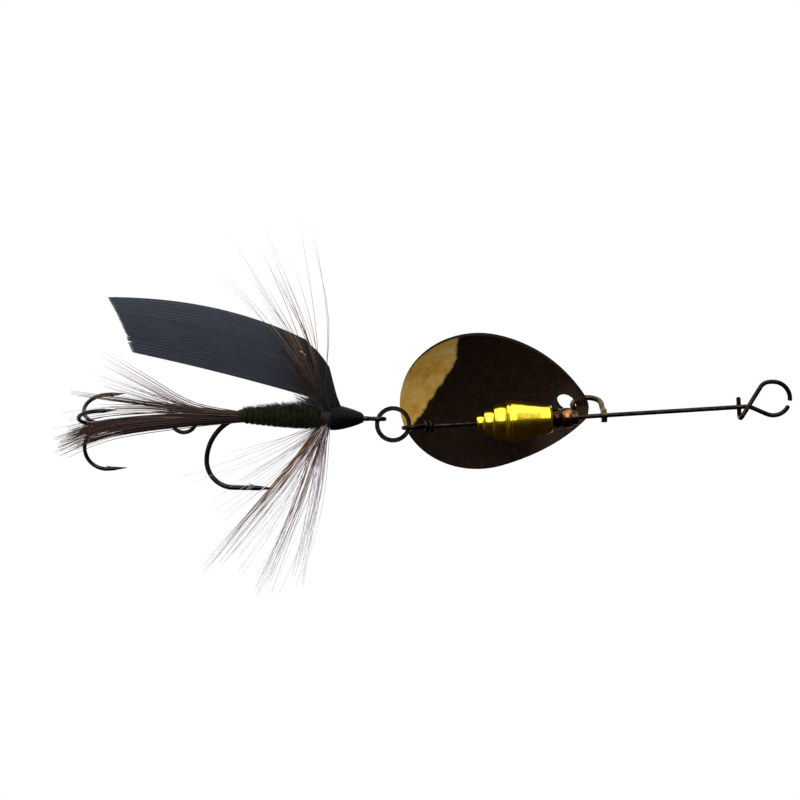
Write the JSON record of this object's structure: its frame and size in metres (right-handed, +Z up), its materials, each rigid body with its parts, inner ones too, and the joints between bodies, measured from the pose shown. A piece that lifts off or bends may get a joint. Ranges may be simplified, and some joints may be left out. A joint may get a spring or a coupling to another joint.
{
  "type": "inline spinner",
  "caption": "Inline spinner on a wire shaft with a clevis-hung domed blade, beads and bell weight, linked by a split ring to a winged wet fly with a trailing treble hook.",
  "frame": {"origin": "seat of the line inside the nose of the front eye, on the axis of the shaft", "axes": "+Z up the shaft towards the line tie, as the lure hangs; +X towards the side of the main hook's point; the hollow of the blade faces -Y at rest"},
  "size_m": [0.0363, 0.0128, 0.0753],
  "materials": {
    "shaft_steel": "drawn spring wire, dark",
    "clevis_brass": "polished, tarnished",
    "blade_black": "black nickel and lacquer, gold tip, gloss",
    "copper": "polished copper plate",
    "dark_bead": "dark amber, gloss",
    "brass": "bright polished",
    "ring_steel": "spring steel, dark plated",
    "hook_black": "black bronze, gloss",
    "thread_dark": "waxed thread",
    "herl": "wound peacock herl",
    "hackle": "brown and dun cock hackle",
    "quill": "slate wing quill",
    "head_varnish": "thread under clear varnish",
    "tail_fibre": "brown feather fibre",
    "treble_steel": "dark nickel"
  },
  "bodies": {
    "shaft": {"shaft_wire": "shaft_steel"},
    "clevis": {"clevis": "clevis_brass"},
    "blade": {"blade": "blade_black"},
    "copper_bead": {"copper_bead": "copper"},
    "dark_bead": {"dark_bead": "dark_bead"},
    "bell_weight": {"bell_weight": "brass"},
    "tail_bead_large": {"tail_bead_large": "brass"},
    "tail_bead_medium": {"tail_bead_medium": "brass"},
    "tail_bead_small": {"tail_bead_small": "brass"},
    "ring": {"split_ring": "ring_steel"},
    "fly": {"main_hook": "hook_black", "thread_base": "thread_dark", "herl_body": "herl", "tail_lashing": "thread_dark", "hackle_stem": "hackle", "hackle_upper": "hackle", "hackle_lower": "hackle", "wing_near": "quill", "wing_far": "quill", "head_thread": "head_varnish", "tail_fibres": "tail_fibre", "stinger_wire": "shaft_steel"},
    "treble": {"treble_double": "treble_steel", "treble_single": "treble_steel"}
  },
  "joints": [
    {"name": "clevis_spin", "type": "hinge", "parent": "shaft", "child": "clevis", "pos_m": [0, 0, -0.0201], "axis": [0, 0, 1], "continuous": true},
    {"name": "blade_swing", "type": "hinge", "parent": "clevis", "child": "blade", "pos_m": [-0.00115, 0.00199, -0.0201], "axis": [0.866, 0.5, 0], "range_deg": [-8, 80]},
    {"name": "copper_bead_spin", "type": "hinge", "parent": "shaft", "child": "copper_bead", "pos_m": [0, 0, -0.02234], "axis": [0, 0, 1], "continuous": true},
    {"name": "dark_bead_spin", "type": "hinge", "parent": "shaft", "child": "dark_bead", "pos_m": [0, 0, -0.02332], "axis": [0, 0, 1], "continuous": true},
    {"name": "bell_weight_spin", "type": "hinge", "parent": "shaft", "child": "bell_weight", "pos_m": [0, 0, -0.0261], "axis": [0, 0, 1], "continuous": true},
    {"name": "tail_bead_large_spin", "type": "hinge", "parent": "shaft", "child": "tail_bead_large", "pos_m": [0, 0, -0.029], "axis": [0, 0, 1], "continuous": true},
    {"name": "tail_bead_medium_spin", "type": "hinge", "parent": "shaft", "child": "tail_bead_medium", "pos_m": [0, 0, -0.03012], "axis": [0, 0, 1], "continuous": true},
    {"name": "tail_bead_small_spin", "type": "hinge", "parent": "shaft", "child": "tail_bead_small", "pos_m": [0, 0, -0.031], "axis": [0, 0, 1], "continuous": true},
    {"name": "ring_swing", "type": "hinge", "parent": "shaft", "child": "ring", "pos_m": [0, 0, -0.0387], "axis": [0, 1, 0], "range_deg": [-55, 35]},
    {"name": "fly_swing", "type": "hinge", "parent": "ring", "child": "fly", "pos_m": [-0.00102, 0, -0.04122], "axis": [1, 0, 0], "range_deg": [-70, 70]},
    {"name": "treble_swing", "type": "hinge", "parent": "fly", "child": "treble", "pos_m": [-0.00215, 0, -0.05973], "axis": [0, 1, 0], "range_deg": [-60, 45], "deforming": ["tail_fibres"]}
  ]
}
